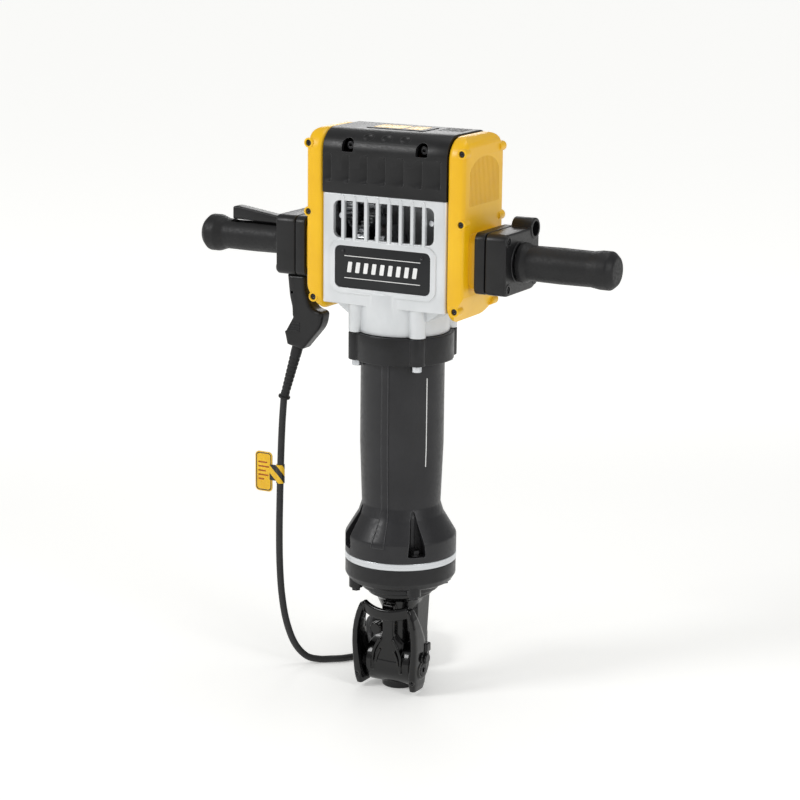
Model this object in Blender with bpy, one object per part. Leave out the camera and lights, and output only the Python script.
"""A 30 kg electric demolition hammer with a 28 mm hex nose, standing on its nose.

Metres, +Z up. The origin is the tool's axis at the nose's lower end, X runs along the two grips and
-Y is the side with the nameplate. The motor, the countershaft and the crank lie along X.
"""

import math

import bmesh
import bpy
from mathutils import Matrix, Vector

# The stack along the tool's axis, from the nose up.
NOSE_HEIGHT = 0.1400
FLANGE_HEIGHT = 0.0422
RING_HEIGHT = 0.0096
BARREL_HEIGHT = 0.3030
NECK_HEIGHT = 0.0372
HOUSING_HEIGHT = 0.1457
COVER_HEIGHT = 0.0843

NOSE_TOP = NOSE_HEIGHT
FLANGE_TOP = NOSE_TOP + FLANGE_HEIGHT
RING_TOP = FLANGE_TOP + RING_HEIGHT
BARREL_TOP = RING_TOP + BARREL_HEIGHT
NECK_TOP = BARREL_TOP + NECK_HEIGHT
HOUSING_TOP = NECK_TOP + HOUSING_HEIGHT
TOTAL_HEIGHT = HOUSING_TOP + COVER_HEIGHT

# Gaps between pieces that touch, and between pieces that slide.
GAP = 0.0003
SLIDE_GAP = 0.0004

# The motor housing, its cover and the two side covers.
HOUSING_WIDTH = 0.1820
HOUSING_DEPTH = 0.1160
HOUSING_WALL = 0.0070
NECK_WALL = 0.0060
GRILLE_WIDTH = 0.1480
GRILLE_HEIGHT = 0.0490
GRILLE_DROP = 0.0090
GRILLE_BARS = 8
GRILLE_BAR = 0.0045
PLATE_WIDTH = 0.1400
PLATE_HEIGHT = 0.0550
PLATE_DROP = 0.0680
PLATE_THICK = 0.0016
SIDE_COVER_WIDTH = 0.0250
SIDE_COVER_FOOT = 0.0120
SIDE_COVER_WALL = 0.0050
PAD_THICK = 0.0090

# The barrel, the flanges at its ends and the bolts through them.
BARREL_RADIUS = 0.0560
WAIST_INSET = 0.0030
FOOT_WALL = 0.0190
FOOT_HEIGHT = 0.0250
FOOT_CONE = 0.0430
CLAMP_HEIGHT = 0.0370
CLAMP_WALL = 0.0120
BOLT_OUT = 0.0006
BOSS_RADIUS = 0.0115
BOLT_RADIUS = 0.0040
BOLT_HEAD = 0.0066
POCKET_WIDTH = 0.0240
RING_PROUD = 0.0002
FLANGE_INSET = 0.0003

# The striking gear inside the barrel.
BORE_RADIUS = 0.0330
CYLINDER_WALL = 0.0100
RAM_LENGTH = 0.0620
BEAT_RADIUS = 0.0170
BEAT_HEAD = 0.0240
CRANK_THROW = 0.0220
ROD_LENGTH = 0.1050
WRIST_RADIUS = 0.0080
CRANK_PIN_RADIUS = 0.0095
WRIST_PIN_INSET = 0.0055
PISTON_LENGTH = 0.0620

# The nose, its hex sleeve and the retainer that swings on the locking shaft.
HEX_ACROSS = 0.0286
SLEEVE_RADIUS = 0.0195
NECK_TUBE_RADIUS = 0.0245
DRUM_RADIUS = 0.0310
DRUM_HALF = 0.0344
DRUM_Y = -0.0060
DRUM_Z = 0.0360
SHAFT_RADIUS = 0.0090
SHAFT_Y = -0.0260
ARM_THICK = 0.0120
BAIL_TOP = 0.1250
BAIL_BAND = 0.0170
BAIL_BOW = 0.0040
DETENT_RADIUS = 0.0085

# The gear train from the motor to the crank.
MOTOR_RISE = 0.0270
STATOR_RADIUS = 0.0460
CORE_RADIUS = 0.0285
STATOR_LOW = -0.0240
STATOR_LENGTH = 0.0620
PINION_TEETH = 9
WHEEL_TEETH = 36
COUNTER_TEETH = 12
CRANK_TEETH = 36
FIRST_MODULE = 0.0020
SECOND_MODULE = 0.0025
GEAR_WIDTH = 0.0130
ROTOR_RADIUS = 0.0060
COUNTER_RADIUS = 0.0070
CRANK_RADIUS = 0.0110
CRANK_DISC_RADIUS = 0.0340
PLATE_LEFT_X = -0.0835
PLATE_RIGHT_X = 0.0755
BEARING_PLATE = 0.0070
GEAR_LEFT_X = -0.0700
GEAR_INNER_X = -0.0500

# The two handle boxes, the grips and the trigger paddle.
GRIP_SPAN = 0.6100
HANDLE_DROP = 0.0780
BOX_FRONT = -0.0450
BOX_REAR = 0.0550
BOX_HALF_HEIGHT = 0.0400
BOX_BASE = 0.0150
BOX_DEPTH = 0.0290
BOX_WALL = 0.0050
PIVOT_IN = 0.0130
CORE_BAR_RADIUS = 0.0140
RIGHT_GRIP_RADIUS = 0.0235
LEFT_GRIP_RADIUS = 0.0210
GRIP_END_RADIUS = 0.0250
GAITER_GAP = 0.0025
PADDLE_HALF = 0.0085
PADDLE_LENGTH = 0.0740
PADDLE_RISE = 0.0405
SLOT_FLOOR = 0.0060

# The cord, its guard arm, the tag and the plug. The cord's route is chosen point by point.
CORD_RADIUS = 0.00475
CORD_ROUTE = [
    (-0.1690, -0.0250, 0.3856),
    (-0.1712, -0.0252, 0.3560),
    (-0.1728, -0.0254, 0.3240),
    (-0.1740, -0.0256, 0.2850),
    (-0.1752, -0.0256, 0.2400),
    (-0.1762, -0.0252, 0.1950),
    (-0.1764, -0.0238, 0.1500),
    (-0.1752, -0.0205, 0.1060),
    (-0.1716, -0.0145, 0.0660),
    (-0.1640, -0.0050, 0.0320),
    (-0.1520, 0.0065, 0.0115),
    (-0.1375, 0.0175, 0.0056),
    (-0.1220, 0.0285, 0.0052),
    (-0.1082, 0.0410, 0.0051),
]
CORD_STEP = 0.0190
HANK_CENTRE = (-0.0650, 0.1104)
HANK_HEADING = 118.2
HANK_LENGTH = 0.1600
HANK_WIDTH = 0.0860
HANK_HEIGHT = 0.0485
ENTRY_WIDTH = 0.0120
ENTRY_ANGLE = 35.0
ENTRY_BACK = 0.0300
TAB_LENGTH = 0.0030
TAIL_HEIGHT = 0.0430
TAIL_SIDE = -0.0030
TAIL_LENGTH = 0.0860
PLUG_RADIUS = 0.0160
PLUG_LENGTH = 0.0380
PLUG_PIN_LENGTH = 0.0190
RELIEF_X = -0.1465
RELIEF_DROP = 0.1377
TAG_WIDTH = 0.0270
TAG_HEIGHT = 0.0560
TAG_Z = 0.2790
ARM_HALF = 0.0130
ARM_Y = -0.0250

# Heights and places that follow from the sizes above.
HALF_WIDTH = HOUSING_WIDTH / 2
HALF_DEPTH = HOUSING_DEPTH / 2
BARREL_WAIST = BARREL_RADIUS - WAIST_INSET
BOLT_CIRCLE = BARREL_RADIUS + BOLT_HEAD + BOLT_OUT
CLAMP_RADIUS = BARREL_RADIUS + CLAMP_WALL
NECK_RADIUS = BARREL_RADIUS + NECK_WALL
FOOT_RADIUS = BARREL_RADIUS + FOOT_WALL
RING_RADIUS = FOOT_RADIUS + RING_PROUD
FLANGE_RADIUS = FOOT_RADIUS - FLANGE_INSET
MOTOR_Z = HOUSING_TOP + MOTOR_RISE
FIRST_DISTANCE = FIRST_MODULE * (PINION_TEETH + WHEEL_TEETH) / 2
SECOND_DISTANCE = SECOND_MODULE * (COUNTER_TEETH + CRANK_TEETH) / 2
COUNTER_Z = MOTOR_Z - FIRST_DISTANCE
CRANK_Z = COUNTER_Z - SECOND_DISTANCE
WRIST_Z = CRANK_Z - CRANK_THROW - ROD_LENGTH
HANDLE_Z = HOUSING_TOP - HANDLE_DROP
RELIEF_TOP = (RELIEF_X, ARM_Y, HANDLE_Z - RELIEF_DROP)
CYLINDER_RADIUS = BORE_RADIUS + CYLINDER_WALL
CYLINDER_LOW = RING_TOP + FOOT_HEIGHT + FOOT_CONE - 0.010
CYLINDER_HIGH = NECK_TOP - 0.004
CLAMP_LOW = BARREL_TOP - CLAMP_HEIGHT
SIDE_OUTER = HALF_WIDTH + SIDE_COVER_WIDTH
PAD_OUTER = SIDE_OUTER + PAD_THICK
BASE_OUTER = PAD_OUTER + GAP + BOX_BASE
BOX_OUTER = BASE_OUTER + GAP + BOX_DEPTH
PIVOT_X = BOX_OUTER - PIVOT_IN
GRIP_INNER = BOX_OUTER + GAITER_GAP
GRIP_END = GRIP_SPAN / 2
DIAGONALS = [45, 135, 225, 315]
SIDES = {"left": -1, "right": 1}


def clear_scene():
    for obj in list(bpy.data.objects):
        bpy.data.objects.remove(obj, do_unlink=True)


def linear(channel):
    return channel / 12.92 if channel <= 0.04045 else ((channel + 0.055) / 1.055) ** 2.4


def material(name, colour, roughness, metallic=0.0):
    made = bpy.data.materials.new(name)
    made.use_nodes = True
    shader = made.node_tree.nodes["Principled BSDF"]
    parts = [linear(int(colour[i : i + 2], 16) / 255) for i in (0, 2, 4)]
    shader.inputs["Base Color"].default_value = (*parts, 1.0)
    shader.inputs["Roughness"].default_value = roughness
    shader.inputs["Metallic"].default_value = metallic
    made.diffuse_color = (*parts, 1.0)
    return made


clear_scene()
SILVER = material("silver_paint", "D8DADC", 0.35, 0.3)
YELLOW = material("yellow_plastic", "F2C418", 0.4)
BLACK = material("black_plastic", "2B2B2C", 0.5)
GREY_PAINT = material("dark_barrel_paint", "3B3B3D", 0.45)
GLOSS = material("black_forging", "18181A", 0.25, 0.2)
STEEL = material("steel", "A9ABAE", 0.3, 1.0)
COPPER = material("copper_winding", "B06A3A", 0.4, 0.8)
RUBBER = material("rubber", "1D1D1E", 0.8)


# ---- shapes: each function returns a bmesh in world space ----


def turned(profile, steps=32, axis="Z", centre=(0.0, 0.0, 0.0)):
    """The outline of (radius, height) points, turned about an axis through the centre."""
    bm = bmesh.new()
    ring = [bm.verts.new((radius, 0.0, height)) for radius, height in profile]
    for i, vert in enumerate(ring):
        after = ring[(i + 1) % len(ring)]
        if vert.co.x > 0 or after.co.x > 0:
            bm.edges.new((vert, after))
    loop = bm.verts[:] + bm.edges[:]
    zero = (0.0, 0.0, 0.0)
    bmesh.ops.spin(
        bm, geom=loop, cent=zero, axis=(0, 0, 1), angle=math.tau, steps=steps, use_merge=True
    )
    bmesh.ops.remove_doubles(bm, verts=bm.verts, dist=1e-6)
    bmesh.ops.dissolve_degenerate(bm, edges=bm.edges, dist=1e-6)
    turns = {"X": Matrix.Rotation(math.pi / 2, 4, "Y"), "Y": Matrix.Rotation(-math.pi / 2, 4, "X")}
    turn = turns.get(axis, Matrix.Identity(4))
    bm.transform(Matrix.Translation(centre) @ turn)
    return bm


def rod(radius, low, high, steps=24, axis="Z", centre=(0.0, 0.0, 0.0)):
    return turned([(0, low), (radius, low), (radius, high), (0, high)], steps, axis, centre)


def tube(inner, outer, low, high, steps=32, axis="Z", centre=(0.0, 0.0, 0.0)):
    profile = [(inner, low), (outer, low), (outer, high), (inner, high)]
    return turned(profile, steps, axis, centre)


def plate(outline, low, high, axis="Z"):
    """A flat outline, extruded along an axis. Its points are (y, z), (x, z) or (x, y)."""
    place = {
        "X": lambda a, b: (low, a, b),
        "Y": lambda a, b: (a, low, b),
        "Z": lambda a, b: (a, b, low),
    }[axis]
    along = {"X": (1, 0, 0), "Y": (0, 1, 0), "Z": (0, 0, 1)}[axis]
    bm = bmesh.new()
    face = bm.faces.new([bm.verts.new(place(a, b)) for a, b in outline])
    grown = bmesh.ops.extrude_face_region(bm, geom=[face])
    moved = [item for item in grown["geom"] if isinstance(item, bmesh.types.BMVert)]
    bmesh.ops.translate(bm, verts=moved, vec=Vector(along) * (high - low))
    bmesh.ops.recalc_face_normals(bm, faces=bm.faces)
    return bm


def block(x, y, z, round_edges=0.0, segments=2):
    bm = plate([(y[0], z[0]), (y[1], z[0]), (y[1], z[1]), (y[0], z[1])], x[0], x[1], "X")
    if round_edges:
        bevel(bm, bm.edges[:], round_edges, segments)
    return bm


def bevel(bm, edges, width, segments=2):
    bmesh.ops.bevel(
        bm, geom=edges, offset=width, offset_type="OFFSET", segments=segments,
        profile=0.5, affect="EDGES", clamp_overlap=True,
    )


def rounded(corners, steps=4):
    """An outline of (a, b, radius) corners, each turned into an arc of that radius."""
    points = []
    for i, (a, b, radius) in enumerate(corners):
        corner = Vector((a, b))
        if radius <= 0:
            points.append((a, b))
            continue
        back = (Vector(corners[i - 1][:2]) - corner).normalized()
        ahead = (Vector(corners[(i + 1) % len(corners)][:2]) - corner).normalized()
        half = back.angle(ahead) / 2
        reach = radius / math.tan(half)
        centre = corner + (back + ahead).normalized() * (radius / math.sin(half))
        start = corner + back * reach - centre
        sweep = start.angle_signed(corner + ahead * reach - centre)
        for step in range(steps + 1):
            turn = Matrix.Rotation(-sweep * step / steps, 2)
            points.append(tuple(centre + turn @ start))
    return points


def rounded_box(left, right, low, high, radius, steps=3):
    corners = [(right, low), (right, high), (left, high), (left, low)]
    return rounded([(a, b, radius) for a, b in corners], steps)


def arc(centre, radius, start, end, steps):
    turns = [math.radians(start + (end - start) * i / steps) for i in range(steps + 1)]
    return [(centre[0] + radius * math.cos(t), centre[1] + radius * math.sin(t)) for t in turns]


def merged(shapes):
    """Shapes that don't touch, held in one bmesh for use as one cutter."""
    whole = bmesh.new()
    for shape in shapes:
        mesh = bpy.data.meshes.new("joined")
        shape.to_mesh(mesh)
        shape.free()
        whole.from_mesh(mesh)
        bpy.data.meshes.remove(mesh)
    return whole


def mirrored(bm):
    bm.transform(Matrix.Scale(-1, 4, (1, 0, 0)))
    bmesh.ops.reverse_faces(bm, faces=bm.faces)
    return bm


def on_side(bm, side):
    return mirrored(bm) if side < 0 else bm


def pivot(name, place):
    made = bpy.data.objects.new(name, None)
    made.empty_display_size = 0.02
    made.location = place
    bpy.context.scene.collection.objects.link(made)
    bpy.context.view_layer.update()
    return made


def face_outwards(bm):
    bmesh.ops.recalc_face_normals(bm, faces=bm.faces)
    if bm.calc_volume(signed=True) < 0:
        bmesh.ops.reverse_faces(bm, faces=bm.faces)


def node(name, bm, look, parent=None):
    """One sub-part. Under a pivot, its origin is the pivot's."""
    face_outwards(bm)
    if parent:
        bm.transform(parent.matrix_world.inverted())
    mesh = bpy.data.meshes.new(name)
    bm.to_mesh(mesh)
    bm.free()
    mesh.materials.append(look)
    mesh.shade_smooth()
    mesh.set_sharp_from_angle(angle=math.radians(35))
    made = bpy.data.objects.new(name, mesh)
    made.parent = parent
    bpy.context.scene.collection.objects.link(made)
    return made


def shaped(obj, bm, operation):
    """Cuts from, joins to or intersects with a piece. The helper is hidden."""
    face_outwards(bm)
    mesh = bpy.data.meshes.new(f"{obj.name}_helper")
    bm.to_mesh(mesh)
    bm.free()
    helper = bpy.data.objects.new(mesh.name, mesh)
    helper.hide_render = True
    helper.display_type = "WIRE"
    bpy.context.scene.collection.objects.link(helper)
    step = obj.modifiers.new(operation.lower(), "BOOLEAN")
    step.operation = operation
    step.object = helper
    return obj


def cut(obj, bm):
    return shaped(obj, bm, "DIFFERENCE")


def join(obj, bm):
    return shaped(obj, bm, "UNION")


def around(angle, radius=BOLT_CIRCLE):
    return radius * math.cos(math.radians(angle)), radius * math.sin(math.radians(angle))


def turn_about_z(bm, angle):
    bm.transform(Matrix.Rotation(math.radians(angle), 4, "Z"))
    return bm


def gear_outline(teeth, module, towards):
    """A toothed outline about (0, 0). A tooth points at the angle `towards`, in degrees."""
    pitch = module * teeth / 2
    root, tip = pitch - 1.05 * module, pitch + 0.75 * module
    points = []
    for tooth in range(teeth):
        for radius, share in ((root, -0.28), (tip, -0.10), (tip, 0.10), (root, 0.28)):
            turn = math.radians(towards) + math.tau * (tooth + share) / teeth
            points.append((radius * math.cos(turn), radius * math.sin(turn)))
    return points


def gear(teeth, module, towards, low, high, height):
    """A gear whose axis runs along X, at this height. 90 degrees is up."""
    outline = [(a, b + height) for a, b in gear_outline(teeth, module, towards)]
    return plate(outline, low, high, "X")


# ---- the housings ----


def motor_housing():
    low, high = NECK_TOP, HOUSING_TOP - GAP
    body = block((-HALF_WIDTH, HALF_WIDTH), (-HALF_DEPTH, HALF_DEPTH), (low, high))
    upright = [e for e in body.edges if abs(e.verts[0].co.z - e.verts[1].co.z) > 0.01]
    front = [e for e in upright if e.verts[0].co.y < 0]
    bevel(body, front, 0.004)
    obj = node("motor_housing", body, SILVER)
    join(obj, plate(bossed_outline(NECK_RADIUS), BARREL_TOP + GAP, low + 0.004))
    inner_x, inner_y = HALF_WIDTH - HOUSING_WALL, HALF_DEPTH - HOUSING_WALL
    cut(obj, block((-inner_x, inner_x), (-inner_y, inner_y), (low + 0.008, high + 0.02)))
    cut(obj, rod(CYLINDER_RADIUS + GAP, BARREL_TOP - 0.02, low + 0.02, 40))
    cut(obj, merged(bolt_holes(BARREL_TOP - 0.01, BARREL_TOP + 0.026)))
    cut(obj, merged(grille_slots()))
    return obj


def bolt_holes(low, high):
    holes = []
    for angle in DIAGONALS:
        x, y = around(angle)
        holes.append(rod(BOLT_RADIUS + GAP, low, high, 10, centre=(x, y, 0)))
    return holes


def grille_slots():
    """The gaps between the upright bars, as boxes through the front wall."""
    high = HOUSING_TOP - GRILLE_DROP
    low = high - GRILLE_HEIGHT
    slots = GRILLE_BARS + 1
    gap = (GRILLE_WIDTH - GRILLE_BARS * GRILLE_BAR) / slots
    made = []
    for i in range(slots):
        left = -GRILLE_WIDTH / 2 + i * (gap + GRILLE_BAR)
        made.append(block((left, left + gap), (-HALF_DEPTH - 0.01, -HALF_DEPTH + 0.02), (low, high)))
    return made


def top_cover():
    low, high = HOUSING_TOP, TOTAL_HEIGHT
    front, back = -HALF_DEPTH, HALF_DEPTH
    outline = rounded(
        [(back, low, 0), (back, high, 0.022), (front, high, 0.030), (front, low, 0)], 6
    )
    body = plate(outline, -HALF_WIDTH + GAP, HALF_WIDTH - GAP, "X")
    obj = node("top_cover", body, BLACK)
    wall = 0.006
    inner = rounded(
        [
            (back - wall, low - 0.02, 0),
            (back - wall, high - wall, 0.017),
            (front + wall, high - wall, 0.025),
            (front + wall, low - 0.02, 0),
        ],
        4,
    )
    cut(obj, plate(inner, -HALF_WIDTH + HOUSING_WALL, HALF_WIDTH - HOUSING_WALL, "X"))
    return obj


def side_cover(name, side):
    """A shell outside the housing. Its foot curves in towards the neck."""
    low, high = NECK_TOP - SIDE_COVER_FOOT, TOTAL_HEIGHT - 0.002
    inner, outer = HALF_WIDTH + GAP, SIDE_OUTER
    half = HALF_DEPTH
    outline = rounded([(half, low, 0.022), (half, high, 0.030), (-half, high, 0.030), (-half, low, 0.022)])
    body = plate(outline, inner, outer + 0.001, "X")
    obj = node(name, on_side(body, side), YELLOW)
    silhouette = rounded(
        [
            (inner - 0.010, low - 0.002, 0),
            (inner + 0.004, low - 0.002, 0),
            (outer, low + 0.036, 0.030),
            (outer, high, 0.018),
            (inner - 0.010, high, 0),
        ],
        5,
    )
    shaped(obj, on_side(plate(silhouette, -half - 0.01, half + 0.01, "Y"), side), "INTERSECT")
    wall = SIDE_COVER_WALL
    across = half - wall - 0.006
    hollow = block((inner - 0.01, outer - wall), (-across, across), (low + 0.040, high - 0.022))
    cut(obj, on_side(hollow, side))
    pad = block(
        (outer - 0.002, PAD_OUTER),
        (BOX_FRONT + 0.004, BOX_REAR - 0.004),
        (HANDLE_Z - BOX_HALF_HEIGHT + 0.004, HANDLE_Z + BOX_HALF_HEIGHT - 0.004),
    )
    return join(obj, on_side(pad, side))


def nameplate():
    high = HOUSING_TOP - PLATE_DROP
    low = high - PLATE_HEIGHT
    half = PLATE_WIDTH / 2
    outline = rounded_box(-half, half, low, high, 0.008)
    front = -HALF_DEPTH - GAP
    return node("nameplate", plate(outline, front - PLATE_THICK, front, "Y"), BLACK)


# ---- the barrel and its flanges ----


def barrel_housing():
    low, high = RING_TOP + GAP, BARREL_TOP - GAP
    foot, cone = low + FOOT_HEIGHT, low + FOOT_HEIGHT + FOOT_CONE
    inner = CYLINDER_RADIUS + GAP
    profile = [
        (inner, low),
        (FOOT_RADIUS, low),
        (FOOT_RADIUS, foot),
        (BARREL_RADIUS + 0.010, foot + 0.015),
        (BARREL_RADIUS + 0.002, foot + 0.029),
        (BARREL_WAIST, cone),
        (BARREL_RADIUS, cone + 0.082),
        (BARREL_RADIUS, high),
        (inner, high),
    ]
    obj = node("barrel_housing", turned(profile, 48), GREY_PAINT)
    pockets = []
    for angle in DIAGONALS:
        pocket = block(
            (BARREL_RADIUS - 0.004, FOOT_RADIUS + 0.01),
            (-POCKET_WIDTH / 2, POCKET_WIDTH / 2),
            (low + 0.008, cone),
        )
        pockets.append(turn_about_z(pocket, angle))
    cut(obj, merged(pockets))
    cut(obj, merged(bolt_holes(low - 0.01, low + 0.02)))
    return obj


def bossed_outline(radius, circle=BOLT_CIRCLE):
    """A circle that swells out round the four bolts."""
    spread = (circle**2 + radius**2 - BOSS_RADIUS**2) / (2 * circle * radius)
    meet = math.acos(spread)
    side = math.degrees(math.atan2(radius * math.sin(meet), radius * math.cos(meet) - circle))
    meet = math.degrees(meet)
    points = []
    for angle in DIAGONALS:
        points += arc(around(angle, circle), BOSS_RADIUS, angle - side, angle + side, 6)
        points += arc((0, 0), radius, angle + meet, angle + 90 - meet, 8)[1:-1]
    return points


def clamp_flange():
    """The ring clamped round the barrel's upper end, with a boss at each bolt."""
    low, high = CLAMP_LOW, BARREL_TOP - GAP
    obj = node("clamp_flange", plate(bossed_outline(CLAMP_RADIUS), low, high), BLACK)
    cut(obj, rod(BARREL_RADIUS + GAP, low - 0.01, high + 0.01, 48))
    cut(obj, merged(bolt_holes(low - 0.01, high + 0.01)))
    return obj


def bolt(name, angle, head_low, head_high, low, high):
    x, y = around(angle)
    profile = [(0, low), (BOLT_RADIUS, low), (BOLT_RADIUS, high), (0, high)]
    if head_low < low:
        profile = [(0, head_low), (BOLT_HEAD, head_low), (BOLT_HEAD, head_high)]
        profile += [(BOLT_RADIUS, head_high), (BOLT_RADIUS, high), (0, high)]
    else:
        profile = [(0, low), (BOLT_RADIUS, low), (BOLT_RADIUS, head_low)]
        profile += [(BOLT_HEAD, head_low), (BOLT_HEAD, head_high), (0, head_high)]
    return node(name, turned(profile, 10, centre=(x, y, 0)), STEEL)


def bolts():
    """Four bolts up through the clamp into the housing, and four down through the foot."""
    seat = RING_TOP + GAP + 0.008 + GAP
    for i, angle in enumerate(DIAGONALS, 1):
        under = CLAMP_LOW - GAP
        bolt(f"barrel_bolt_{i}", angle, under - 0.008, under, under, BARREL_TOP + 0.024)
        bolt(f"flange_bolt_{i}", angle, seat, seat + 0.008, NOSE_TOP + 0.012, seat)


def spacer_ring():
    low, high = FLANGE_TOP + GAP, RING_TOP
    obj = node("spacer_ring", tube(CYLINDER_RADIUS + GAP, RING_RADIUS, low, high, 48), SILVER)
    return cut(obj, merged(bolt_holes(low - 0.01, high + 0.01)))


def front_flange():
    low, high = NOSE_TOP + GAP, FLANGE_TOP
    inner = BEAT_HEAD + 0.008 + GAP
    profile = [
        (inner, low),
        (NECK_RADIUS - 0.002, low),
        (FLANGE_RADIUS - 0.008, low + 0.008),
        (FLANGE_RADIUS, low + 0.018),
        (FLANGE_RADIUS, high),
        (inner, high),
    ]
    obj = node("front_flange", turned(profile, 48), BLACK)
    for angle in DIAGONALS:
        x, y = around(angle, BOLT_CIRCLE - 0.001)
        join(obj, rod(BOLT_HEAD + 0.0012, low + 0.001, low + 0.030, 12, centre=(x, y, 0)))
    return cut(obj, merged(bolt_holes(NOSE_TOP + 0.010, high + 0.01)))


# ---- the striking gear ----


def cylinder_sleeve():
    return node(
        "cylinder_sleeve", tube(BORE_RADIUS, CYLINDER_RADIUS, CYLINDER_LOW, CYLINDER_HIGH, 40), STEEL
    )


def front_guide():
    """The bush that guides the beat piece, with a collar that the bumper rests on."""
    low, high = NOSE_TOP + GAP, RING_TOP + 0.012
    inner, body = BEAT_RADIUS + SLIDE_GAP, BEAT_HEAD + 0.008
    profile = [(inner, low), (body, low), (body, high), (inner, high)]
    return node("front_guide", turned(profile, 32), STEEL)


def bumper():
    low = RING_TOP + 0.012 + GAP
    return node("bumper", tube(BEAT_RADIUS + 0.001, CYLINDER_RADIUS - 0.002, low, low + 0.016), RUBBER)


def beat_piece():
    low = NOSE_TOP - 0.020
    head = RING_TOP + 0.028 + 2 * GAP
    profile = [
        (0, low),
        (BEAT_RADIUS - 0.004, low),
        (BEAT_RADIUS, low + 0.006),
        (BEAT_RADIUS, head),
        (BEAT_HEAD, head + 0.004),
        (BEAT_HEAD, head + 0.018),
        (0, head + 0.018),
    ]
    return node("beat_piece", turned(profile, 28), STEEL, pivot("beat_slide", (0, 0, low)))


def ram():
    low = CYLINDER_LOW + 0.008
    radius = BORE_RADIUS - SLIDE_GAP
    high = low + RAM_LENGTH
    profile = [(0, low), (radius - 0.004, low), (radius, low + 0.004), (radius, high), (0, high)]
    return node("ram", turned(profile, 32), STEEL, pivot("ram_slide", (0, 0, low)))


def piston_group():
    """The piston slides, and carries the wrist pin that the connecting rod swings on."""
    slide = pivot("piston_slide", (0, 0, WRIST_Z))
    radius = BORE_RADIUS - SLIDE_GAP
    low, high = WRIST_Z - PISTON_LENGTH * 0.65, WRIST_Z + PISTON_LENGTH * 0.35
    body = node("piston", rod(radius, low, high, 32), STEEL, slide)
    eye = WRIST_RADIUS + 0.006
    cut(body, block((-0.0105, 0.0105), (-0.020, 0.020), (WRIST_Z - eye - 0.002, high + 0.01)))
    half = BORE_RADIUS - WRIST_PIN_INSET
    bore = half + 0.0005
    cut(body, rod(WRIST_RADIUS + GAP, -bore, bore, 16, "X", (0, 0, WRIST_Z)))
    node("wrist_pin", rod(WRIST_RADIUS, -half, half, 16, "X", (0, 0, WRIST_Z)), STEEL, slide)

    swing = pivot("rod_swing", (0, 0, 0))
    swing.parent = slide
    bpy.context.view_layer.update()
    big_end = WRIST_Z + ROD_LENGTH
    shank = node("connecting_rod", rod(eye, -0.0095, 0.0095, 20, "X", (0, 0, WRIST_Z)), STEEL, swing)
    join(shank, rod(CRANK_PIN_RADIUS + 0.007, -0.0095, 0.0095, 24, "X", (0, 0, big_end)))
    join(shank, block((-0.0070, 0.0070), (-0.0085, 0.0085), (WRIST_Z + 0.004, big_end - 0.006)))
    cut(shank, rod(WRIST_RADIUS + SLIDE_GAP, -0.02, 0.02, 16, "X", (0, 0, WRIST_Z)))
    cut(shank, rod(CRANK_PIN_RADIUS + GAP, -0.02, 0.02, 20, "X", (0, 0, big_end)))
    pin = rod(CRANK_PIN_RADIUS, -0.0140, 0.0105, 20, "X", (0, 0, big_end))
    node("crank_pin", pin, STEEL, swing)


# ---- the motor and its gears ----


def motor_group():
    spin = pivot("armature_spin", (0, 0, MOTOR_Z))
    at_motor = (0, 0, MOTOR_Z)
    left = PLATE_LEFT_X + 0.001
    right = PLATE_RIGHT_X + BEARING_PLATE - 0.001
    shaft = node("armature_shaft", rod(ROTOR_RADIUS, left, right, 16, "X", at_motor), STEEL, spin)
    teeth = gear(PINION_TEETH, FIRST_MODULE, -90, GEAR_LEFT_X, GEAR_LEFT_X + GEAR_WIDTH, MOTOR_Z)
    join(shaft, teeth)
    bore = ROTOR_RADIUS + GAP
    core_high = STATOR_LOW + STATOR_LENGTH
    node("armature_core", tube(bore, CORE_RADIUS, STATOR_LOW, core_high, 24, "X", at_motor), COPPER, spin)
    comm_low = core_high + 0.004
    node("commutator", tube(bore, 0.016, comm_low, comm_low + 0.012, 20, "X", at_motor), COPPER, spin)
    fan_low = comm_low + 0.015
    node("cooling_fan", tube(bore, 0.036, fan_low, fan_low + 0.010, 24, "X", at_motor), BLACK, spin)
    stator = tube(CORE_RADIUS + 0.0008, STATOR_RADIUS, STATOR_LOW, core_high, 32, "X", at_motor)
    node("stator", stator, COPPER)


def counter_group():
    """The countershaft's wheel meshes with the armature, and its pinion with the crank gear."""
    spin = pivot("counter_spin", (0, 0, COUNTER_Z))
    centre = (0, 0, COUNTER_Z)
    low, high = PLATE_LEFT_X + 0.001, GEAR_INNER_X + GEAR_WIDTH + 0.006
    obj = node("countershaft", rod(COUNTER_RADIUS, low, high, 16, "X", centre), STEEL, spin)
    half_tooth = 180 / WHEEL_TEETH
    wheel = gear(
        WHEEL_TEETH, FIRST_MODULE, 90 + half_tooth, GEAR_LEFT_X, GEAR_LEFT_X + GEAR_WIDTH, COUNTER_Z
    )
    join(obj, wheel)
    join(obj, gear(COUNTER_TEETH, SECOND_MODULE, -90, GEAR_INNER_X, GEAR_INNER_X + GEAR_WIDTH, COUNTER_Z))


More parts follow.
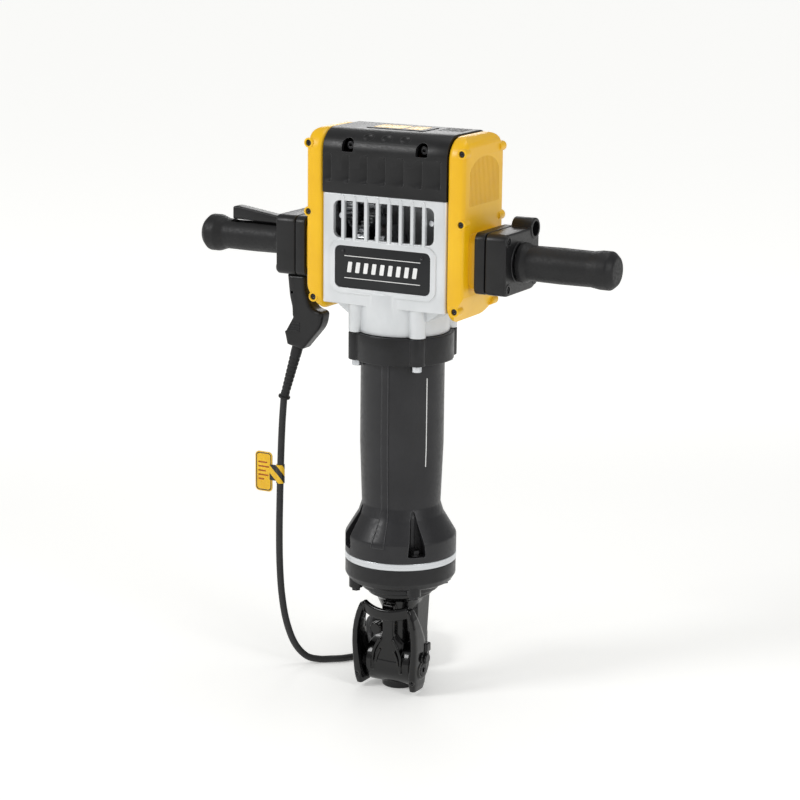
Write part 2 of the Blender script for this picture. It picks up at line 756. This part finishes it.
def crank_group():
    spin = pivot("crank_spin", (0, 0, CRANK_Z))
    centre = (0, 0, CRANK_Z)
    face = -0.0145
    profile = [
        (0, PLATE_LEFT_X + 0.001),
        (CRANK_RADIUS, PLATE_LEFT_X + 0.001),
        (CRANK_RADIUS, face - 0.014),
        (CRANK_DISC_RADIUS, face - 0.014),
        (CRANK_DISC_RADIUS, face),
        (0, face),
    ]
    node("crankshaft", turned(profile, 28, "X", centre), STEEL, spin)
    half_tooth = 180 / CRANK_TEETH
    wheel = gear(
        CRANK_TEETH, SECOND_MODULE, 90 + half_tooth, GEAR_INNER_X, GEAR_INNER_X + GEAR_WIDTH, CRANK_Z
    )
    obj = node("crank_gear", wheel, STEEL, spin)
    bore_low, bore_high = GEAR_INNER_X - 0.01, GEAR_INNER_X + GEAR_WIDTH + 0.01
    cut(obj, rod(CRANK_RADIUS + GAP, bore_low, bore_high, 28, "X", centre))


def bearing_plates():
    """The upright plates inside the housing that hold the three shafts."""
    half = HALF_DEPTH - HOUSING_WALL - GAP
    low = NECK_TOP + 0.008 + GAP
    high = MOTOR_Z + 0.026
    plates = {"bearing_plate_left": PLATE_LEFT_X, "bearing_plate_right": PLATE_RIGHT_X}
    for name, x in plates.items():
        outline = rounded([(half, low, 0), (half, high, 0.020), (-half, high, 0.020), (-half, low, 0)], 3)
        obj = node(name, plate(outline, x, x + BEARING_PLATE, "X"), SILVER)
        holes = [rod(ROTOR_RADIUS + GAP, x - 0.01, x + 0.02, 16, "X", (0, 0, MOTOR_Z))]
        if x < 0:
            holes.append(rod(COUNTER_RADIUS + GAP, x - 0.01, x + 0.02, 16, "X", (0, 0, COUNTER_Z)))
            holes.append(rod(CRANK_RADIUS + GAP, x - 0.01, x + 0.02, 28, "X", (0, 0, CRANK_Z)))
        cut(obj, merged(holes))


# ---- the nose and the retainer ----


def nose_housing():
    high = NOSE_TOP
    neck = [
        (0, DRUM_Z),
        (NECK_TUBE_RADIUS, DRUM_Z),
        (NECK_TUBE_RADIUS, high - 0.030),
        (NECK_TUBE_RADIUS + 0.008, high - 0.014),
        (NECK_TUBE_RADIUS + 0.020, high - 0.006),
        (NECK_TUBE_RADIUS + 0.020, high),
        (0, high),
    ]
    obj = node("nose_housing", turned(neck, 32), GLOSS)
    front = DRUM_Y - DRUM_RADIUS
    join(obj, rod(DRUM_RADIUS, -DRUM_HALF, DRUM_HALF, 28, "X", (0, DRUM_Y, DRUM_Z)))
    join(obj, block((-0.026, 0.026), (-0.026, 0.026), (0, DRUM_Z + 0.010)))
    spine = rounded(
        [
            (-0.020, DRUM_Z + 0.014, 0),
            (0.020, DRUM_Z + 0.014, 0),
            (0.009, DRUM_Z + 0.040, 0.010),
            (0.009, high - 0.020, 0),
            (-0.009, high - 0.020, 0),
            (-0.009, DRUM_Z + 0.040, 0.010),
        ],
        3,
    )
    join(obj, plate(spine, front + 0.006, -0.010, "Y"))
    cut(obj, rod(SLEEVE_RADIUS + GAP, -0.01, high + 0.01, 32))
    reach = DRUM_HALF + 0.01
    return cut(obj, rod(SHAFT_RADIUS + SLIDE_GAP, -reach, reach, 20, "X", (0, SHAFT_Y, DRUM_Z)))


def tool_sleeve():
    low, high = GAP, NOSE_TOP - 0.024
    obj = node("tool_sleeve", rod(SLEEVE_RADIUS, low, high, 32), STEEL)
    corner = HEX_ACROSS / math.sqrt(3)
    hexagon = arc((0, 0), corner, 0, 300, 5)
    cut(obj, plate(hexagon, low - 0.01, high + 0.01, "Z"))
    notch = rod(SHAFT_RADIUS + SLIDE_GAP, -0.03, 0.03, 20, "X", (0, SHAFT_Y, DRUM_Z))
    return cut(obj, notch)


def retainer():
    """The bail and the locking shaft swing forward together about the shaft's axis."""
    swing = pivot("retainer_swing", (0, SHAFT_Y, DRUM_Z))
    inner = DRUM_HALF + 0.0006
    outer = inner + ARM_THICK
    side_view = rounded(
        [
            (SHAFT_Y + 0.014, 0.006, 0.010),
            (SHAFT_Y + 0.018, DRUM_Z + 0.010, 0.012),
            (SHAFT_Y + 0.010, BAIL_TOP, 0.006),
            (SHAFT_Y - 0.016, BAIL_TOP, 0.006),
            (SHAFT_Y - 0.020, DRUM_Z + 0.010, 0.012),
            (SHAFT_Y - 0.016, 0.006, 0.010),
        ],
        3,
    )
    bow = outer + BAIL_BOW
    obj = node("retainer_bail", plate(side_view, -bow, bow, "X"), GLOSS, swing)
    front_view = rounded(
        [
            (-outer + 0.003, -0.010, 0),
            (outer - 0.003, -0.010, 0),
            (bow, BAIL_TOP * 0.55, 0.060),
            (outer - 0.010, BAIL_TOP, 0.010),
            (-outer + 0.010, BAIL_TOP, 0.010),
            (-bow, BAIL_TOP * 0.55, 0.060),
        ]
    )
    shaped(obj, plate(front_view, SHAFT_Y - 0.06, SHAFT_Y + 0.06, "Y"), "INTERSECT")
    window = [
        (-inner, -0.020, 0),
        (inner, -0.020, 0),
        (inner + BAIL_BOW, BAIL_TOP * 0.58, 0.050),
        (inner - 0.008, BAIL_TOP - BAIL_BAND, 0.012),
        (-inner + 0.008, BAIL_TOP - BAIL_BAND, 0.012),
        (-inner - BAIL_BOW, BAIL_TOP * 0.58, 0.050),
    ]
    cut(obj, plate(rounded(window, 4), SHAFT_Y - 0.06, SHAFT_Y + 0.06, "Y"))
    cut(obj, rod(NECK_TUBE_RADIUS + 0.009, BAIL_TOP - 0.06, BAIL_TOP + 0.02, 24))
    cut(obj, rod(SHAFT_RADIUS + GAP, -0.1, 0.1, 20, "X", (0, SHAFT_Y, DRUM_Z)))
    reach = outer + 0.004
    node("locking_shaft", rod(SHAFT_RADIUS, -reach, reach, 20, "X", (0, SHAFT_Y, DRUM_Z)), STEEL, swing)
    cap_x, cap_z = -DETENT_RADIUS - 0.010, DRUM_Z + 0.050
    node("detent_cap", rod(DETENT_RADIUS, -0.037, -NECK_TUBE_RADIUS, 16, "Y", (cap_x, 0, cap_z)), STEEL)


# ---- the handles ----


def handle_box(word, side):
    """A base on the side cover and a hollow box that the grip's bar comes out of."""
    z = (HANDLE_Z - BOX_HALF_HEIGHT, HANDLE_Z + BOX_HALF_HEIGHT)
    y = (BOX_FRONT, BOX_REAR)
    outline = [(y[1], z[0], 0.010), (y[1], z[1], 0.014), (y[0], z[1], 0.010), (y[0], z[0], 0.010)]
    base = plate(rounded(outline, 3), PAD_OUTER + GAP, BASE_OUTER, "X")
    node(f"handle_base_{word}", on_side(base, side), BLACK)

    body = plate(rounded(outline, 3), BASE_OUTER + GAP, BOX_OUTER, "X")
    rim = [e for e in body.edges if all(v.co.x > BOX_OUTER - 1e-5 for v in e.verts)]
    bevel(body, rim, 0.006)
    obj = node(f"handle_box_{word}", on_side(body, side), BLACK)
    wall = BOX_WALL
    inside = [(low + wall, high - wall) for low, high in (y, z)]
    cut(obj, on_side(block((BASE_OUTER - 0.01, BOX_OUTER - wall), *inside), side))
    window = rod(CORE_BAR_RADIUS + 0.003, BOX_OUTER - 0.02, BOX_OUTER + 0.02, 24, "X", (0, 0, HANDLE_Z))
    cut(obj, on_side(window, side))
    pin_hole = (side * PIVOT_X, 0, HANDLE_Z)
    pin_low, pin_high = y[0] + wall - 0.003, y[1] - wall + 0.003
    cut(obj, rod(0.0045 + GAP, pin_low, pin_high, 12, "Y", pin_hole))
    node(f"handle_pin_{word}", rod(0.0045, pin_low + GAP, pin_high - GAP, 12, "Y", pin_hole), STEEL)
    if side > 0:
        damper = (0, BOX_REAR - 0.013, z[1] - 0.002)
        join(obj, rod(0.0140, BASE_OUTER + 0.001, BOX_OUTER + 0.002, 20, "X", damper))
    return obj


def grip(word, side, radius):
    """The bar swings on the pin in the box, and the rubber grip fits over it."""
    swing = pivot(f"handle_swing_{word}", (side * PIVOT_X, 0, HANDLE_Z))
    centre = (0, 0, HANDLE_Z)
    bar = turned(
        [
            (0, BASE_OUTER + 0.004),
            (CORE_BAR_RADIUS, BASE_OUTER + 0.004),
            (CORE_BAR_RADIUS, GRIP_END - 0.012),
            (0, GRIP_END - 0.012),
        ],
        24,
        "X",
        centre,
    )
    core = node(f"grip_core_{word}", on_side(bar, side), STEEL, swing)
    cut(core, rod(0.0045 + SLIDE_GAP, -0.03, 0.03, 12, "Y", (side * PIVOT_X, 0, HANDLE_Z)))
    inner = CORE_BAR_RADIUS + GAP
    root = GRIP_INNER
    profile = [
        (inner, root),
        (radius + 0.003, root),
        (radius + 0.003, root + 0.008),
        (radius - 0.001, root + 0.012),
        (radius, root + 0.060),
        (radius, GRIP_END - 0.024),
        (GRIP_END_RADIUS, GRIP_END - 0.015),
        (GRIP_END_RADIUS, GRIP_END - 0.006),
        (GRIP_END_RADIUS - 0.006, GRIP_END),
        (0, GRIP_END),
        (0, GRIP_END - 0.0117),
        (inner, GRIP_END - 0.0117),
    ]
    rubber = node(f"grip_{word}", on_side(turned(profile, 28, "X", centre), side), RUBBER, swing)
    return swing, core, rubber


def trigger(swing, core, rubber):
    """The paddle lies in a slot in the left grip. It turns about its end next to the box."""
    hinge_x = -(GRIP_INNER + 0.014)
    free_x = hinge_x - PADDLE_LENGTH
    hinge_z = HANDLE_Z + 0.0245
    floor = HANDLE_Z + SLOT_FLOOR
    half = PADDLE_HALF + 0.001
    for piece in (core, rubber):
        cut(piece, block((free_x - 0.002, hinge_x + 0.004), (-half, half), (floor, floor + 0.05)))
    turn = pivot("trigger_press", (hinge_x, 0, hinge_z))
    turn.parent = swing
    turn.location = Vector((hinge_x, 0, hinge_z)) - swing.location
    bpy.context.view_layer.update()
    side_view = rounded(
        [
            (hinge_x + 0.003, hinge_z - 0.004, 0.0025),
            (hinge_x + 0.003, hinge_z + 0.006, 0.0025),
            (free_x, HANDLE_Z + PADDLE_RISE, 0.003),
            (free_x, HANDLE_Z + PADDLE_RISE - 0.018, 0.002),
        ],
        2,
    )
    node("trigger_paddle", plate(side_view, -PADDLE_HALF, PADDLE_HALF, "Y"), BLACK, turn)
    half = PADDLE_HALF - 0.001
    switch = block((hinge_x - 0.030, hinge_x - 0.010), (-half, half), (floor + GAP, floor + 0.008))
    node("switch_body", switch, BLACK, swing)


# ---- the cord ----


def guard_arm():
    """The curved arm under the left box that carries the cord out from the body."""
    top = HANDLE_Z - BOX_HALF_HEIGHT - GAP
    outline = rounded(
        [
            (-0.1577, top, 0),
            (-0.1545, top - 0.030, 0.060),
            (-0.1490, top - 0.054, 0.010),
            (-0.1625, top - 0.080, 0.006),
            (-0.1585, top - 0.0965, 0.003),
            (-0.1345, top - 0.1020, 0.003),
            (-0.1060, top - 0.068, 0.030),
            (-0.1020, top - 0.048, 0.004),
            (-0.1200, top - 0.0440, 0.012),
            (-0.1290, top - 0.020, 0.020),
            (-0.1300, top, 0),
        ],
        3,
    )
    body = plate(outline, ARM_Y - ARM_HALF, ARM_Y + ARM_HALF, "Y")
    obj = node("cord_guard_arm", body, BLACK)
    top_point = Vector(RELIEF_TOP)
    along = (Vector(CORD_ROUTE[0]) - top_point).normalized()
    socket = along_line(rod(0.0080, -0.030, 0.012, 16), top_point, along)
    cut(obj, socket)
    return top_point, along


def along_line(bm, start, direction):
    """Places a shape made along +Z so that its axis runs from a point in a direction."""
    turn = Vector((0, 0, 1)).rotation_difference(direction).to_matrix().to_4x4()
    bm.transform(Matrix.Translation(start) @ turn)
    return bm


def strain_relief(top_point, along):
    length = (Vector(CORD_ROUTE[0]) - top_point).length
    profile = [
        (0, -0.0280),
        (0.0076, -0.0280),
        (0.0076, 0.010),
        (CORD_RADIUS + 0.0012, length - 0.004),
        (CORD_RADIUS + 0.0035, length - 0.003),
        (CORD_RADIUS + 0.0035, length),
        (0, length),
    ]
    return node("strain_relief", along_line(turned(profile, 16), top_point, along), RUBBER)


def smooth_route(points, step):
    """Points at an even step along a Catmull-Rom curve through the chosen ones."""
    ends = [2 * points[0] - points[1]] + points + [2 * points[-1] - points[-2]]
    fine = []
    for before, start, end, after in zip(ends, ends[1:], ends[2:], ends[3:]):
        for i in range(16):
            t = i / 16
            bend = (3 * (start - end) + after - before) * t + 2 * before - 5 * start + 4 * end - after
            fine.append(start + t * (end - before + t * bend) / 2)
    fine.append(points[-1])
    lengths = [0.0]
    for a, b in zip(fine, fine[1:]):
        lengths.append(lengths[-1] + (b - a).length)
    count = round(lengths[-1] / step)
    even = []
    place = 0
    for i in range(count):
        wanted = lengths[-1] * i / count
        while lengths[place + 1] < wanted:
            place += 1
        share = (wanted - lengths[place]) / (lengths[place + 1] - lengths[place])
        even.append(fine[place].lerp(fine[place + 1], share))
    return even + [points[-1]]


def hank_frame():
    """Unit vectors along and across the hank, on the floor."""
    turn = math.radians(HANK_HEADING)
    return Vector((math.cos(turn), math.sin(turn), 0)), Vector((math.sin(turn), -math.cos(turn), 0))


def hank_point(u, w, z=0.0):
    along, across = hank_frame()
    return Vector((*HANK_CENTRE, z)) + along * u + across * w


def entry_corners():
    """The small wedge on the hank's left side whose face the cord runs into."""
    half = HANK_WIDTH / 2
    turn = math.radians(ENTRY_ANGLE)
    inner = (-ENTRY_BACK, -half)
    outer = (inner[0] + ENTRY_WIDTH * math.sin(turn), inner[1] - ENTRY_WIDTH * math.cos(turn))
    meet = (inner[0] + ENTRY_WIDTH / math.sin(turn), -half)
    return inner, outer, meet


def power_cord():
    inner, outer, _ = entry_corners()
    floor = CORD_RADIUS + GAP
    turn = math.radians(ENTRY_ANGLE)
    along, across = hank_frame()
    heading = along * math.cos(turn) + across * math.sin(turn)
    middle = hank_point((inner[0] + outer[0]) / 2, (inner[1] + outer[1]) / 2, floor)
    end = middle - heading * GAP
    start_way = (Vector(CORD_ROUTE[0]) - Vector(RELIEF_TOP)).normalized()
    start = Vector(CORD_ROUTE[0]) + start_way * GAP
    route = [start + start_way * 0.008, *map(Vector, CORD_ROUTE[1:]), end - heading * 0.008]
    cord_tube("power_cord", [start, *smooth_route(route, CORD_STEP), end])


def cord_tube(name, points):
    curve = bpy.data.curves.new(name, "CURVE")
    curve.dimensions = "3D"
    curve.bevel_depth = CORD_RADIUS
    curve.bevel_resolution = 2
    curve.use_fill_caps = True
    spline = curve.splines.new("POLY")
    spline.points.add(len(points) - 1)
    for item, place in zip(spline.points, points):
        item.co = (*place, 1.0)
    spline.use_smooth = True
    curve.materials.append(RUBBER)
    obj = bpy.data.objects.new(name, curve)
    bpy.context.scene.collection.objects.link(obj)


def cord_tail():
    """The end of the cord, from the top of the hank's far end down to the plug on the floor."""
    first, last = tail_ends()
    points = []
    for i in range(8):
        t = i / 7
        ease = t * t * (3 - 2 * t)
        rise = TAIL_HEIGHT + (PLUG_RADIUS + GAP - TAIL_HEIGHT) * ease
        points.append(hank_point(first + (last - first) * t, TAIL_SIDE * (1 - ease), rise))
    ahead = hank_frame()[0] * 0.004
    ends = [points[-1] - ahead, points[-1]]
    cord_tube("power_cord_tail", [points[0], points[0] + ahead, *points[1:-1], *ends])


def tail_ends():
    """Where the tail leaves the hank's tab and where it meets the plug, along the hank."""
    first = HANK_LENGTH / 2 + TAB_LENGTH + GAP
    return first, first + TAIL_LENGTH


def cord_hank():
    """The tied coils as one round-ended solid, with a wedge and a tab for the cord's ends."""
    half = HANK_WIDTH / 2
    straight = (HANK_LENGTH - HANK_WIDTH) / 2
    inner, outer, meet = entry_corners()
    tab = CORD_RADIUS * 2.6
    tab_angle = math.degrees(math.asin(tab / half))
    outline = [(-straight, -half), inner, outer, meet, (straight, -half)]
    outline += arc((straight, 0), half, -80, -tab_angle, 7)
    outline += [(straight + half + TAB_LENGTH, -tab), (straight + half + TAB_LENGTH, tab)]
    outline += arc((straight, 0), half, tab_angle, 90, 7)
    outline += arc((-straight, 0), half, 90, 260, 14)
    placed = [tuple(hank_point(u, w).xy) for u, w in outline]
    return node("cord_hank", plate(placed, GAP, HANK_HEIGHT, "Z"), RUBBER)


def plug():
    """A moulded two-pin plug on the floor at the end of the cord's tail."""
    along, _ = hank_frame()
    start = hank_point(tail_ends()[1] + GAP, 0, PLUG_RADIUS + GAP)
    profile = [
        (0, 0),
        (CORD_RADIUS + 0.002, 0),
        (PLUG_RADIUS * 0.6, 0.010),
        (PLUG_RADIUS, 0.018),
        (PLUG_RADIUS, PLUG_LENGTH),
        (0, PLUG_LENGTH),
    ]
    obj = node("plug", along_line(turned(profile, 20), start, along), RUBBER)
    for w in (-0.0095, 0.0095):
        centre = start + along * (PLUG_LENGTH - 0.003) + hank_frame()[1] * w
        join(obj, along_line(rod(0.0024, 0, PLUG_PIN_LENGTH + 0.003, 10), centre, along))


def cord_tag():
    """A tag held by a wrap round the cord."""
    cord_x, cord_y = -0.1742, -0.0256
    inner, outer = CORD_RADIUS + 0.0009, CORD_RADIUS + 0.0026
    wrap = tube(inner, outer, TAG_Z - 0.013, TAG_Z + 0.013, 14, centre=(cord_x, cord_y, 0))
    obj = node("cord_tag", wrap, YELLOW)
    wrap_x = cord_x - CORD_RADIUS - 0.0015
    right = wrap_x - 0.0065
    low, high = TAG_Z - TAG_HEIGHT / 2, TAG_Z + TAG_HEIGHT / 2
    flag = rounded_box(right - TAG_WIDTH, right, low, high, 0.004)
    join(obj, plate(flag, cord_y - 0.0012, cord_y + 0.0012, "Y"))
    near, far = cord_y - 0.0010, cord_y + 0.0010
    neck = block((right - 0.0015, wrap_x), (near, far), (TAG_Z - 0.011, TAG_Z + 0.011))
    return join(obj, neck)


def build():
    motor_housing()
    top_cover()
    nameplate()
    barrel_housing()
    clamp_flange()
    bolts()
    spacer_ring()
    front_flange()
    nose_housing()
    tool_sleeve()
    retainer()
    cylinder_sleeve()
    front_guide()
    bumper()
    beat_piece()
    ram()
    piston_group()
    motor_group()
    counter_group()
    crank_group()
    bearing_plates()
    for word, side in SIDES.items():
        side_cover(f"side_cover_{word}", side)
        handle_box(word, side)
    trigger(*grip("left", -1, LEFT_GRIP_RADIUS))
    grip("right", 1, RIGHT_GRIP_RADIUS)
    strain_relief(*guard_arm())
    power_cord()
    cord_hank()
    cord_tail()
    plug()
    cord_tag()


build()
